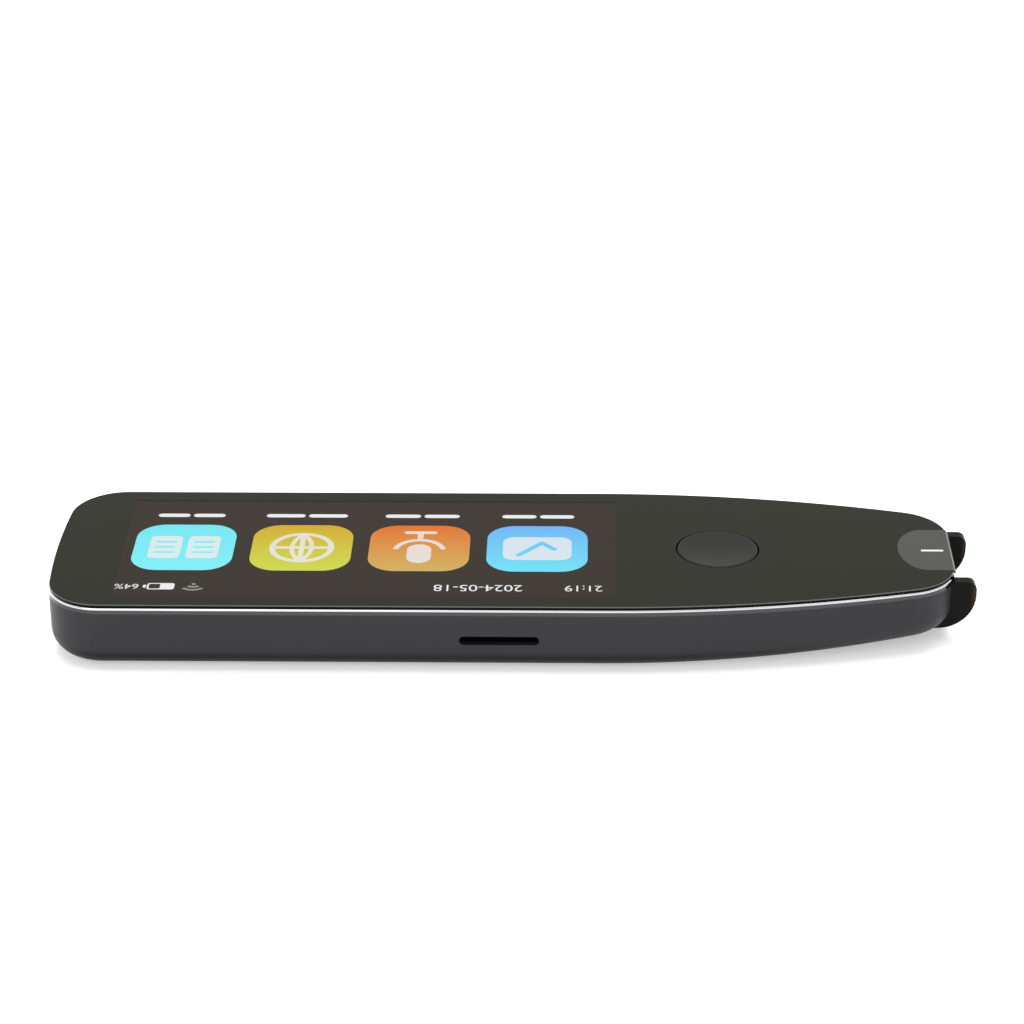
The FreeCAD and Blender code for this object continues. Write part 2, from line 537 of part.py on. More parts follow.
# Main circuit board, its shield cans, chips and microphone
board = new_body("board_blank")
board_y = size("half_width") - size("board_side")
board_end = FRONT_X - size("board_back")
notch_x = battery_end_at + size("slot_space") + size("speaker_length") / 2 + 1.1
pad(board, "board_pad", polyline((board_at, 11.6 - board_y), (notch_x, 8.2 - board_y),
                                 (notch_x, -board_y), (button_at - 3.5, -board_y),
                                 (board_end - 9, 3.9 - board_y), (board_end, 6.3 - board_y),
                                 (board_end, board_y - 6.3), (board_end - 9, board_y - 3.9),
                                 (button_at - 3.5, board_y), (board_at, board_y)), "<<sizes>>.board_thick")
place(board, z="<<sizes>>.board_base")
board_holes = []
for number, (x, y) in enumerate(SCREWS[2:]):
    board_holes.append(cylinder("board_hole_%d" % number, str(x), str(y), "<<sizes>>.board_base - 1",
                                "<<sizes>>.boss_radius + 0.1", "4"))
main_board = cut("main_board", board, fuse("board_holes", board_holes))
shield_cans = group("shield_cans", [box("can_rear", BOARD_X + " + 6", "-8", BOARD_TOP,
                                        TAIL_X + " - " + BOARD_X + " - 9.5", "19", "1.6"),
                                    box("can_front", BUTTON_X + " + 4.5", "-8.5", BOARD_TOP, "9", "17", "1.6")])
board_chips = group("board_chips", [box("chip_memory", BUTTON_X + " - 19.5", "-6", "<<sizes>>.board_base - 1",
                                        "12",
                                        "12", "1"),
                                    box("chip_power", BUTTON_X + " + 2.5", "-4", "<<sizes>>.board_base - 0.8",
                                        "7", "7", "0.8")])
microphone = box("microphone", str(MIC_X - 1.9), str(MIC_Y - 1.5), "<<sizes>>.board_base - 1", "3.8", "3", "1")

# Pouch battery and its lead
battery = box("battery", BATTERY_X, "-<<sizes>>.half_width + <<sizes>>.battery_side", "<<sizes>>.wall + 0.1",
              "<<sizes>>.battery_length", "2 * (<<sizes>>.half_width - <<sizes>>.battery_side)",
              "<<sizes>>.battery_thick")
battery_lead = box("battery_lead", BATTERY_END, "5.5", BOARD_TOP, "<<sizes>>.board_gap + 4.8", "5",
                   "<<sizes>>.film")

# Speaker behind the slot in the near wall, with a dark mesh over the opening
speaker_mesh = box("speaker_mesh", SLOT_X + " - <<sizes>>.slot_length / 2 - 0.6",
                   "-<<sizes>>.half_width + <<sizes>>.wall",
                   "<<sizes>>.slot_middle - <<sizes>>.slot_height / 2 - 0.45", "<<sizes>>.slot_length + 1.2",
                   "<<sizes>>.mesh_thick", "<<sizes>>.slot_height + 0.9")
speaker = box("speaker", SLOT_X + " - <<sizes>>.speaker_length / 2",
              "-<<sizes>>.half_width + <<sizes>>.wall + <<sizes>>.mesh_thick", "3.4", "<<sizes>>.speaker_length",
              "<<sizes>>.speaker_width", "<<sizes>>.speaker_thick")

# Charging port in the rear end, its small board and the flat lead over the battery
usb_board = box("usb_board", "<<sizes>>.rear_x + 2.3", "-8", "<<sizes>>.port_base - 0.8", "9.0", "16", "0.8")
port_hole = stadium("port_inside", "<<sizes>>.rear_x - 1", "0", PORT_MID,
                    "<<sizes>>.port_width - 2 * <<sizes>>.port_wall",
                    "<<sizes>>.port_height - 2 * <<sizes>>.port_wall", "<<sizes>>.port_depth", "x")
usb_socket = cut("usb_socket", stadium("port_shell", "<<sizes>>.rear_x + 0.4", "0", PORT_MID,
                                       "<<sizes>>.port_width", "<<sizes>>.port_height",
                                       "<<sizes>>.port_depth", "x"), port_hole)
usb_tongue = box("usb_tongue", "<<sizes>>.rear_x + 1.4", "-3.35", PORT_MID + " - 0.35", "4.95", "6.7", "0.7")
usb_flex = fuse("usb_flex", [
    box("lead_top", "<<sizes>>.rear_x + 9.5", "-4", BATTERY_TOP,
        BOARD_X + " - <<sizes>>.rear_x - 5.3", "8", "<<sizes>>.film"),
    box("lead_rear", "<<sizes>>.rear_x + 9.5", "-4", "<<sizes>>.port_base", "<<sizes>>.film", "8",
        BATTERY_TOP + " - <<sizes>>.port_base + <<sizes>>.film"),
    box("lead_front", BOARD_X + " + 4.0", "-4", BOARD_TOP, "<<sizes>>.film", "8",
        BATTERY_TOP + " - " + BOARD_TOP + " + <<sizes>>.film")])

# Radio antenna under the chassis at the rear
antenna = box("antenna", "<<sizes>>.rear_x + 4", "-<<sizes>>.half_width + <<sizes>>.antenna_side",
              PLATE_BASE + " - <<sizes>>.film", "<<sizes>>.antenna_width",
              "2 * (<<sizes>>.half_width - <<sizes>>.antenna_side)", "<<sizes>>.film")

# Screws that hold the chassis down to the shell bosses
screw_parts = []
for number, (x, y) in enumerate(SCREWS):
    shank = cylinder("screw_shank_%d" % number, str(x), str(y), PLATE_BASE + " - <<sizes>>.screw_length + 0.3",
                     "<<sizes>>.screw_radius", "<<sizes>>.screw_length + <<sizes>>.plate_thick - 0.4")
    head = cylinder("screw_head_%d" % number, str(x), str(y), SCREEN_BASE + " - <<sizes>>.screw_head_tall",
                    "<<sizes>>.screw_head", "<<sizes>>.screw_head_tall - 0.05")
    screw_parts.append(fuse("screw_%d" % number, [shank, head]))
screws = group("screws", screw_parts)

doc.recompute()

NODES = ["back_shell", "bezel_ring", "front_glass", "nose_window", "glass_tape", "mid_frame", "display_panel",
         "display_flex", "main_button", "button_plunger", "button_switch", "power_key", "power_plunger",
         "power_switch", "key_flex", "scan_hood", "scan_window", "trigger_plunger", "trigger_switch",
         "scan_camera", "scan_lens", "lamp_board", "scan_lamps", "main_board", "shield_cans", "board_chips",
         "microphone", "battery", "battery_lead", "speaker_mesh", "speaker", "usb_board", "usb_socket",
         "usb_tongue", "usb_flex", "antenna", "screws"]

for item in doc.Objects:
    if "Invalid" in item.State or "Error" in item.State:
        raise RuntimeError("object %s did not build" % item.Label)

os.makedirs("parts", exist_ok=True)
for node in NODES:
    shape = doc.getObjectsByLabel(node)[0].Shape
    if shape.isNull() or not shape.isValid():
        raise RuntimeError("sub-part %s has no valid shape" % node)
    shape.exportStep("parts/%s.step" % node)
    print(node, len(shape.Solids), round(shape.Volume, 1), shape.BoundBox)
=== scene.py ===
import math

import bmesh
import bpy
from mathutils import Matrix, Vector


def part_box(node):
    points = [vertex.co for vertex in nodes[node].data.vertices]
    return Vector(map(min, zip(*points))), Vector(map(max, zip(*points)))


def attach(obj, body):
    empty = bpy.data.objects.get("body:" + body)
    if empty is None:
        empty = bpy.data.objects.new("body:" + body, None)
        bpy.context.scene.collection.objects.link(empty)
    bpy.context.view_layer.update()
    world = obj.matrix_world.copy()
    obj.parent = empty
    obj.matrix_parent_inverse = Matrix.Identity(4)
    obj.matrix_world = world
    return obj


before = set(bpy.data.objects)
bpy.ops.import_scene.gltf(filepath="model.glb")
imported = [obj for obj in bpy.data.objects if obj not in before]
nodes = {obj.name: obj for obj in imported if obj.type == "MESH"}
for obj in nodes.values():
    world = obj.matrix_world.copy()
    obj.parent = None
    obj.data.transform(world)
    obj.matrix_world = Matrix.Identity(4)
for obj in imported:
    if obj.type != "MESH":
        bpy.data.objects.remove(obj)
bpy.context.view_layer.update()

# Camera: a long lens, 26 degrees above the table and almost square to the pen's side.
# The principal point is the middle of the frame, so there is no shift.
camera_place = (0.01124, -0.46330, 0.24630)
camera_pan = 0.0245
camera_dip = 0.4573
camera_roll = -0.0066
cam_data = bpy.data.cameras.new("photo_camera")
cam_data.sensor_width = 36.0
cam_data.lens = 111.4
cam_data.clip_start = 0.01
cam = bpy.data.objects.new("photo_camera", cam_data)
bpy.context.collection.objects.link(cam)
cam_turn = (Matrix.Rotation(camera_pan, 4, "Z") @ Matrix.Rotation(math.pi / 2 - camera_dip, 4, "X")
            @ Matrix.Rotation(camera_roll, 4, "Z"))
cam.matrix_world = Matrix.Translation(Vector(camera_place)) @ cam_turn
bpy.context.scene.camera = cam
bpy.context.scene.view_settings.view_transform = "Standard"

# Studio surround: full white to the camera and in metal and glass, and dimmer as a light on matt surfaces,
# so that the pen's own shading stays.
world = bpy.data.worlds.new("studio")
world.use_nodes = True
bpy.context.scene.world = world
wt = world.node_tree
sky = wt.nodes["Background"]
path = wt.nodes.new("ShaderNodeLightPath")
seen = wt.nodes.new("ShaderNodeMath")
seen.operation = "MAXIMUM"
seen_all = wt.nodes.new("ShaderNodeMath")
seen_all.operation = "MAXIMUM"
level = wt.nodes.new("ShaderNodeMapRange")
level.inputs["To Min"].default_value = 0.55
level.inputs["To Max"].default_value = 1.0
wt.links.new(path.outputs["Is Camera Ray"], seen.inputs[0])
wt.links.new(path.outputs["Is Glossy Ray"], seen.inputs[1])
wt.links.new(seen.outputs[0], seen_all.inputs[0])
wt.links.new(path.outputs["Is Transmission Ray"], seen_all.inputs[1])
wt.links.new(seen_all.outputs[0], level.inputs["Value"])
wt.links.new(level.outputs[0], sky.inputs["Strength"])
sky.inputs["Color"].default_value = (1, 1, 1, 1)

# Table: a wide sheet of matt white paper that keeps the pen's soft shadow. It lies a hair below the
# underside, so that the two never share a face.
floor_half = 3.0
floor_drop = 0.0002
floor_mesh = bpy.data.meshes.new("floor")
fb = bmesh.new()
bmesh.ops.create_grid(fb, x_segments=1, y_segments=1, size=floor_half)
fb.to_mesh(floor_mesh)
fb.free()
floor = bpy.data.objects.new("floor", floor_mesh)
bpy.context.collection.objects.link(floor)
floor.location.z = -floor_drop
floor_mat = bpy.data.materials.new("floor_paper")
floor_mat.use_nodes = True
floor_bsdf = floor_mat.node_tree.nodes["Principled BSDF"]
floor_bsdf.inputs["Base Color"].default_value = (0.93, 0.93, 0.93, 1)
floor_bsdf.inputs["Roughness"].default_value = 0.9
floor_bsdf.inputs["Specular IOR Level"].default_value = 0.0
floor_bsdf.inputs["Emission Color"].default_value = (1, 1, 1, 1)
floor_bsdf.inputs["Emission Strength"].default_value = 0.42
floor_mesh.materials.append(floor_mat)

# Lamps: two square studio soft boxes, a large one overhead and a weaker one low on the near side. Both are
# turned to the middle of the pen.
for lamp_name, spot, wide, watts in (("top_softbox", (0.05, 0.25, 0.9), 0.9, 9.0),
                                     ("near_softbox", (-0.35, -0.75, 0.55), 0.6, 2.0)):
    lamp_data = bpy.data.lights.new(lamp_name, "AREA")
    lamp_data.shape = "SQUARE"
    lamp_data.size = wide
    lamp_data.energy = watts
    lamp = bpy.data.objects.new(lamp_name, lamp_data)
    bpy.context.collection.objects.link(lamp)
    lamp.location = spot
    lamp.rotation_euler = (-Vector(spot)).to_track_quat("-Z", "Y").to_euler()

# Grain of blasted, moulded and plated surfaces: a speckle mask of a given fineness
grain = bpy.data.node_groups.new("fine_grain", "ShaderNodeTree")
grain.interface.new_socket("Scale", in_out="INPUT", socket_type="NodeSocketFloat")
grain.interface.new_socket("Mask", in_out="OUTPUT", socket_type="NodeSocketFloat")
g_in = grain.nodes.new("NodeGroupInput")
g_out = grain.nodes.new("NodeGroupOutput")
g_pos = grain.nodes.new("ShaderNodeTexCoord")
g_fine = grain.nodes.new("ShaderNodeTexNoise")
g_fine.inputs["Detail"].default_value = 6.0
g_broad = grain.nodes.new("ShaderNodeTexNoise")
g_broad.inputs["Scale"].default_value = 60.0
g_add = grain.nodes.new("ShaderNodeMath")
g_add.operation = "MULTIPLY_ADD"
g_add.inputs[1].default_value = 0.75
g_less = grain.nodes.new("ShaderNodeMath")
g_less.operation = "MULTIPLY"
g_less.inputs[1].default_value = 0.25
grain.links.new(g_pos.outputs["Object"], g_fine.inputs["Vector"])
grain.links.new(g_pos.outputs["Object"], g_broad.inputs["Vector"])
grain.links.new(g_in.outputs["Scale"], g_fine.inputs["Scale"])
grain.links.new(g_broad.outputs["Fac"], g_less.inputs[0])
grain.links.new(g_fine.outputs["Fac"], g_add.inputs[0])
grain.links.new(g_less.outputs[0], g_add.inputs[2])
grain.links.new(g_add.outputs[0], g_out.inputs["Mask"])

# Change of colour across a piece, for a second finish and for painted light and shade: soft masks that rise
# from 0 at Low to 1 at High, up or along the pen
fade = bpy.data.node_groups.new("finish_and_painted_light_fade", "ShaderNodeTree")
for socket in ("Low", "High"):
    fade.interface.new_socket(socket, in_out="INPUT", socket_type="NodeSocketFloat")
f_in = fade.nodes.new("NodeGroupInput")
f_pos = fade.nodes.new("ShaderNodeTexCoord")
f_axes = fade.nodes.new("ShaderNodeSeparateXYZ")
fade.links.new(f_pos.outputs["Object"], f_axes.inputs[0])
for socket in ("Up", "Along"):
    fade.interface.new_socket(socket, in_out="OUTPUT", socket_type="NodeSocketFloat")
f_out = fade.nodes.new("NodeGroupOutput")
for socket, axis in (("Up", "Z"), ("Along", "X")):
    f_rise = fade.nodes.new("ShaderNodeMapRange")
    f_rise.interpolation_type = "SMOOTHSTEP"
    fade.links.new(f_axes.outputs[axis], f_rise.inputs["Value"])
    fade.links.new(f_in.outputs["Low"], f_rise.inputs["From Min"])
    fade.links.new(f_in.outputs["High"], f_rise.inputs["From Max"])
    fade.links.new(f_rise.outputs[0], f_out.inputs[socket])


def surface(name, dark, light, rough, scale, metal=0.0, spec=0.5, bump=0.02):
    mat = bpy.data.materials.new(name)
    mat.use_nodes = True
    tree = mat.node_tree
    bsdf = tree.nodes["Principled BSDF"]
    bsdf.inputs["Metallic"].default_value = metal
    bsdf.inputs["Specular IOR Level"].default_value = spec
    speck = tree.nodes.new("ShaderNodeGroup")
    speck.node_tree = grain
    speck.inputs["Scale"].default_value = scale
    tone = tree.nodes.new("ShaderNodeMix")
    tone.data_type = "RGBA"
    tone.inputs["A"].default_value = (*dark, 1)
    tone.inputs["B"].default_value = (*light, 1)
    tree.links.new(speck.outputs["Mask"], tone.inputs["Factor"])
    tree.links.new(tone.outputs["Result"], bsdf.inputs["Base Color"])
    gloss = tree.nodes.new("ShaderNodeMapRange")
    gloss.inputs["To Min"].default_value = rough - 0.04
    gloss.inputs["To Max"].default_value = rough + 0.04
    tree.links.new(speck.outputs["Mask"], gloss.inputs["Value"])
    tree.links.new(gloss.outputs[0], bsdf.inputs["Roughness"])
    relief = tree.nodes.new("ShaderNodeBump")
    relief.inputs["Strength"].default_value = bump
    relief.inputs["Distance"].default_value = 0.0001
    tree.links.new(speck.outputs["Mask"], relief.inputs["Height"])
    tree.links.new(relief.outputs["Normal"], bsdf.inputs["Normal"])
    return mat


# A second colour blended in below Low: a real change of colour on the hood, and painted shade, a painted
# highlight and a painted reflection on other pieces
def finish_and_painted_light(mat, low_colour, low, high, way="Up"):
    tree = mat.node_tree
    bsdf = tree.nodes["Principled BSDF"]
    usual = bsdf.inputs["Base Color"].links[0].from_socket
    rise = tree.nodes.new("ShaderNodeGroup")
    rise.node_tree = fade
    rise.inputs["Low"].default_value = low
    rise.inputs["High"].default_value = high
    blend = tree.nodes.new("ShaderNodeMix")
    blend.data_type = "RGBA"
    blend.inputs["A"].default_value = (*low_colour, 1)
    tree.links.new(rise.outputs[way], blend.inputs["Factor"])
    tree.links.new(usual, blend.inputs["B"])
    tree.links.new(blend.outputs["Result"], bsdf.inputs["Base Color"])


def dress(mat, *node_names):
    for node_name in node_names:
        mesh = nodes[node_name].data
        mesh.materials.clear()
        mesh.materials.append(mat)


# Back shell. Painted shade: its colour is painted near black along the lower edge, fading out between these
# two heights
painted_shade_from, painted_shade_to = 0.0019, 0.0037
shell = surface("shell_blasted", (0.021, 0.020, 0.0225), (0.033, 0.032, 0.0350), 0.46, 5200.0,
                metal=0.35, spec=0.25, bump=0.05)
finish_and_painted_light(shell, (0.001, 0.001, 0.001), painted_shade_from, painted_shade_to)
dress(shell, "back_shell")

# Trim ring: a chrome-plated ring that lies on the tub's rim and frames the glass. Its rounded upper edge is
# plain bright chrome and shows a thin bright line; the flat band below it is painted dark grey, a painted dim
# reflection.
ring_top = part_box("bezel_ring")[1][2]
painted_dim_band_depth = 0.00042
shine_depth = 0.00030
chrome = surface("trim_chrome", (0.62, 0.62, 0.63), (0.70, 0.70, 0.71), 0.10, 900.0, metal=1.0, bump=0.004)
# Painted dim reflection: the band below the rounded edge is painted dark grey
finish_and_painted_light(chrome, (0.062, 0.062, 0.066), ring_top - painted_dim_band_depth, ring_top - shine_depth)
dress(chrome, "bezel_ring")

# Cover glass: one sheet over the whole top, printed black on its back with a clear area over the screen,
# and bonded to the chassis with tape. Its rounded edge has a pale painted highlight, and its side below is
# painted shade, near black.
clear_area = (("X", -0.06405, 0.01685), ("Y", -0.0172, 0.0172))
glass_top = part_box("front_glass")[1][2]
# Heights of the pale painted highlight on the edge and of the near-black painted shade on the side
edge_highlight_from, edge_highlight_to = glass_top - 0.00004, glass_top - 0.00002
side_shade_from, side_shade_to = glass_top - 0.00020, glass_top - 0.00016
glass = bpy.data.materials.new("cover_glass")
glass.use_nodes = True
gt = glass.node_tree
glass_bsdf = gt.nodes["Principled BSDF"]
glass_bsdf.inputs["Roughness"].default_value = 0.12
glass_bsdf.inputs["Specular IOR Level"].default_value = 0.05
where = gt.nodes.new("ShaderNodeTexCoord")
axes = gt.nodes.new("ShaderNodeSeparateXYZ")
gt.links.new(where.outputs["Object"], axes.inputs[0])
clear = gt.nodes.new("ShaderNodeMath")
clear.operation = "MULTIPLY"
for number, (axis, low, high) in enumerate(clear_area):
    off_middle = gt.nodes.new("ShaderNodeMath")
    off_middle.operation = "SUBTRACT"
    off_middle.inputs[1].default_value = (low + high) / 2
    distance = gt.nodes.new("ShaderNodeMath")
    distance.operation = "ABSOLUTE"
    inside = gt.nodes.new("ShaderNodeMath")
    inside.operation = "LESS_THAN"
    inside.inputs[1].default_value = (high - low) / 2
    gt.links.new(axes.outputs[axis], off_middle.inputs[0])
    gt.links.new(off_middle.outputs[0], distance.inputs[0])
    gt.links.new(distance.outputs[0], inside.inputs[0])
    gt.links.new(inside.outputs[0], clear.inputs[number])
cover = gt.nodes.new("ShaderNodeMapRange")
cover.inputs["To Min"].default_value = 1.0
cover.inputs["To Max"].default_value = 0.10
gt.links.new(clear.outputs[0], cover.inputs["Value"])
gt.links.new(cover.outputs[0], glass_bsdf.inputs["Alpha"])
haze = gt.nodes.new("ShaderNodeGroup")
haze.node_tree = grain
haze.inputs["Scale"].default_value = 700.0
ink = gt.nodes.new("ShaderNodeMix")
ink.data_type = "RGBA"
ink.inputs["A"].default_value = (0.0130, 0.0137, 0.0078, 1)
ink.inputs["B"].default_value = (0.0165, 0.0173, 0.0102, 1)
gt.links.new(haze.outputs["Mask"], ink.inputs["Factor"])
gt.links.new(ink.outputs["Result"], glass_bsdf.inputs["Base Color"])
# Painted highlight on the rounded edge, then painted shade on the side below it
finish_and_painted_light(glass, (0.130, 0.130, 0.128), edge_highlight_from, edge_highlight_to)
finish_and_painted_light(glass, (0.0015, 0.0015, 0.0015), side_shade_from, side_shade_to)
dress(glass, "front_glass")

# Screen: a flat liquid-crystal panel bonded under the glass, with a dim warm grey glow. Its picture looks
# to lie just under the glass's face, so the layers of the picture sit inside the sheet, read from the far
# side. The plate that they lie on glows like the panel.
image_depth = 0.00006
image_long, image_wide, image_corner = 81.9, 35.4, 0.3
image_middle = (-0.0236, 0)
image_top = glass_top - image_depth
panel = bpy.data.materials.new("screen_panel")
panel.use_nodes = True
pt = panel.node_tree
panel_bsdf = pt.nodes["Principled BSDF"]
panel_bsdf.inputs["Roughness"].default_value = 0.3
panel_bsdf.inputs["Specular IOR Level"].default_value = 0.05
pixels = pt.nodes.new("ShaderNodeGroup")
pixels.node_tree = grain
pixels.inputs["Scale"].default_value = 300.0
glow = pt.nodes.new("ShaderNodeMix")
glow.data_type = "RGBA"
glow.inputs["A"].default_value = (0.0270, 0.0140, 0.0064, 1)
glow.inputs["B"].default_value = (0.0330, 0.0176, 0.0080, 1)
pt.links.new(pixels.outputs["Mask"], glow.inputs["Factor"])
pt.links.new(glow.outputs["Result"], panel_bsdf.inputs["Emission Color"])
panel_bsdf.inputs["Base Color"].default_value = (0.01, 0.01, 0.01, 1)
panel_bsdf.inputs["Emission Strength"].default_value = 0.8
dress(panel, "display_panel")


# A flat layer of the picture: closed outlines in millimetres about a centre in metres, facing up
def flat(name, loops, centre, lift, mat, grow=1.0):
    mesh = bpy.data.meshes.new(name)
    bm = bmesh.new()
    for loop in loops:
        corners = [(centre[0] - x * grow / 1000, centre[1] - y * grow / 1000, image_top + lift)
                   for x, y in loop]
        bm.faces.new([bm.verts.new(corner) for corner in corners])
    bmesh.ops.recalc_face_normals(bm, faces=bm.faces)
    for face in bm.faces:
        if face.normal.z < 0:
            face.normal_flip()
    bm.to_mesh(mesh)
    bm.free()
    mesh.materials.append(mat)
    piece = bpy.data.objects.new(name, mesh)
    bpy.context.collection.objects.link(piece)
    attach(piece, "casing")


def arc(cx, cy, r, a0, a1, steps=10):
    return [(cx + r * math.cos(math.radians(a0 + (a1 - a0) * i / steps)),
             cy + r * math.sin(math.radians(a0 + (a1 - a0) * i / steps))) for i in range(steps + 1)]


def rounded(cx, cy, w, h, r):
    x, y = w / 2 - r, h / 2 - r
    return (arc(cx + x, cy + y, r, 0, 90) + arc(cx - x, cy + y, r, 90, 180)
            + arc(cx - x, cy - y, r, 180, 270) + arc(cx + x, cy - y, r, 270, 360))


flat("screen_image", [rounded(0, 0, image_long, image_wide, image_corner)], image_middle, 0.0, panel)

# Tiles: four lit squares with rounded corners in one row of the picture, each with a pale sign on it and a
# label of two bars under it. They are light from the panel, and each changes a little in colour from its
# far edge to its near edge. The signs are an open book, a globe, a microphone and a card with a tick.
tile_side, tile_corner, tile_pitch = 16.5, 4.6, 0.01933
row_x, row_y, label_y = -0.025, -0.00015, 0.0116
label_gap, label_high = 0.9, 1.25
sign_grow = 1.25
tile_lift, sign_lift, detail_lift = 0.00001, 0.00002, 0.00003

# Change of colour over the lit marks: a mask that goes from 0 at the Far place to 1 at the Near place
shift = bpy.data.node_groups.new("light_shift", "ShaderNodeTree")
for socket in ("Far", "Near"):
    shift.interface.new_socket(socket, in_out="INPUT", socket_type="NodeSocketFloat")
shift.interface.new_socket("Mask", in_out="OUTPUT", socket_type="NodeSocketFloat")
s_in = shift.nodes.new("NodeGroupInput")
s_out = shift.nodes.new("NodeGroupOutput")
s_pos = shift.nodes.new("ShaderNodeTexCoord")
s_axes = shift.nodes.new("ShaderNodeSeparateXYZ")
s_range = shift.nodes.new("ShaderNodeMapRange")
shift.links.new(s_pos.outputs["Object"], s_axes.inputs[0])
shift.links.new(s_axes.outputs["Y"], s_range.inputs["Value"])
shift.links.new(s_in.outputs["Far"], s_range.inputs["From Min"])
shift.links.new(s_in.outputs["Near"], s_range.inputs["From Max"])
shift.links.new(s_range.outputs[0], s_out.inputs["Mask"])


def lit(name, far, near, strength=1.0):
    mat = bpy.data.materials.new(name)
    mat.use_nodes = True
    tree = mat.node_tree
    bsdf = tree.nodes["Principled BSDF"]
    bsdf.inputs["Base Color"].default_value = (0.0, 0.0, 0.0, 1)
    bsdf.inputs["Roughness"].default_value = 0.4
    bsdf.inputs["Specular IOR Level"].default_value = 0.0
    bsdf.inputs["Emission Strength"].default_value = strength
    across = tree.nodes.new("ShaderNodeGroup")
    across.node_tree = shift
    across.inputs["Far"].default_value = 0.0081
    across.inputs["Near"].default_value = -0.0084
    blend = tree.nodes.new("ShaderNodeMix")
    blend.data_type = "RGBA"
    blend.inputs["A"].default_value = (*far, 1)
    blend.inputs["B"].default_value = (*near, 1)
    tree.links.new(across.outputs["Mask"], blend.inputs["Factor"])
    tree.links.new(blend.outputs["Result"], bsdf.inputs["Emission Color"])
    return mat


def bar(x0, y0, x1, y1, w):
    dx, dy = x1 - x0, y1 - y0
    a = math.degrees(math.atan2(dy, dx))
    return arc(x1, y1, w / 2, a - 90, a + 90, 6) + arc(x0, y0, w / 2, a + 90, a + 270, 6)


def band(cx, cy, r, w, a0, a1, steps=24):
    outer = arc(cx, cy, r + w / 2, a0, a1, steps)
    inner = arc(cx, cy, r - w / 2, a0, a1, steps)
    return [[outer[i], outer[i + 1], inner[i + 1], inner[i]] for i in range(steps)]


def tile_middle(index):
    return (row_x + (index - 1.5) * tile_pitch, row_y)


book = [rounded(-2.5, 0, 4.2, 6.4, 0.7), rounded(2.5, 0, 4.2, 6.4, 0.7)]
globe = (band(0, 0, 3.9, 0.75, 0, 360, 40) + [bar(-3.8, 0, 3.8, 0, 0.7), bar(0, -3.8, 0, 3.8, 0.7)]
         + band(5.2, 0, 6.5, 0.6, 143, 217) + band(-5.2, 0, 6.5, 0.6, -37, 37))
voice = ([rounded(0, 1.6, 3.2, 5.4, 1.59), bar(0, -3.0, 0, -4.4, 0.8), bar(-1.8, -4.5, 1.8, -4.5, 0.8)]
         + band(0, 0.9, 3.2, 0.7, 190, 350))
card = [rounded(0, 0, 9.0, 6.6, 1.5)]
tiles = (("cyan", (0.20, 0.84, 0.93), (0.25, 0.90, 0.98), 5.0, book),
         ("yellow", (0.68, 0.44, 0.04), (0.66, 0.74, 0.10), 6.2, globe),
         ("orange", (0.80, 0.19, 0.04), (0.68, 0.47, 0.13), 5.6, voice),
         ("blue", (0.18, 0.49, 0.96), (0.19, 0.80, 0.96), 5.4, card))
mark = lit("screen_mark", (0.93, 0.95, 0.95), (0.93, 0.95, 0.95))
for index, (name, far, near, reach, sign) in enumerate(tiles):
    middle = tile_middle(index)
    tile_light = lit("tile_" + name, far, near, 1.06)
    flat("tile_" + name, [rounded(0, 0, tile_side, tile_side, tile_corner)], middle, tile_lift, tile_light)
    pale = [[0.72 + 0.24 * part for part in colour] for colour in (far, near)]
    flat("glyph_" + name, sign, middle, sign_lift, lit("glyph_" + name, *pale), sign_grow)
    bars = [bar(-reach, 0, -label_gap, 0, label_high), bar(label_gap, 0, reach, 0, label_high)]
    flat("label_" + name, bars, (middle[0], label_y), sign_lift, mark)
book_lines = [bar(x - 1.2, y, x + 1.2, y, 0.45) for x in (-2.5, 2.5) for y in (-1.5, 0, 1.5)]
flat("cyan_lines", book_lines, tile_middle(0), detail_lift, bpy.data.materials["tile_cyan"], sign_grow)
tick = [bar(-2.2, 0.2, -0.6, -1.6, 0.8), bar(-0.6, -1.6, 2.4, 1.9, 0.8)]
flat("blue_tick", tick, tile_middle(3), detail_lift, bpy.data.materials["tile_blue"], sign_grow)

# Status row: small marks in one line along the near edge of the picture, lit by the panel like the tiles.
# It has digits for the clock, the date and the charge, a dim signal fan and a battery outline, whose gap
# shows how far it is used up.
status_y = -0.0141
signal_x, charge_x = -0.0510, -0.0562
for text_name, words, x, high in (("clock_digits", "21:19", 0.0116, 0.0028),
                                  ("date_digits", "2024-05-18", -0.0053, 0.0031),
                                  ("charge_digits", "64%", -0.0617, 0.0024)):
    curve = bpy.data.curves.new(text_name, "FONT")
    curve.body = words
    curve.size = high
    curve.align_x = "CENTER"
    curve.align_y = "CENTER"
    source = bpy.data.objects.new(text_name + "_source", curve)
    bpy.context.collection.objects.link(source)
    bpy.context.view_layer.update()
    mesh = bpy.data.meshes.new_from_object(source)
    bpy.data.objects.remove(source)
    mesh.name = text_name
    mesh.transform(Matrix.Translation((x, status_y, image_top + sign_lift))
                   @ Matrix.Rotation(math.pi, 4, "Z"))
    mesh.materials.clear()
    mesh.materials.append(mark)
    digits = bpy.data.objects.new(text_name, mesh)
    bpy.context.collection.objects.link(digits)
    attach(digits, "casing")
dim = lit("screen_dim", (0.34, 0.34, 0.34), (0.34, 0.34, 0.34))
fan = (band(0, -1.0, 2.2, 0.5, 45, 135, 10) + band(0, -1.0, 1.2, 0.5, 45, 135, 8)
       + [arc(0, -0.8, 0.35, 0, 360, 10)[:-1]])
flat("signal_fan", fan, (signal_x, status_y), sign_lift, dim)
cell = [rounded(0, 0, 4.4, 2.2, 0.5), rounded(2.6, 0, 0.5, 1.0, 0.2)]
flat("charge_frame", cell, (charge_x, status_y), sign_lift, mark)
flat("charge_gap", [rounded(1.0, 0, 1.8, 1.6, 0.2)], (charge_x, status_y), detail_lift, panel)

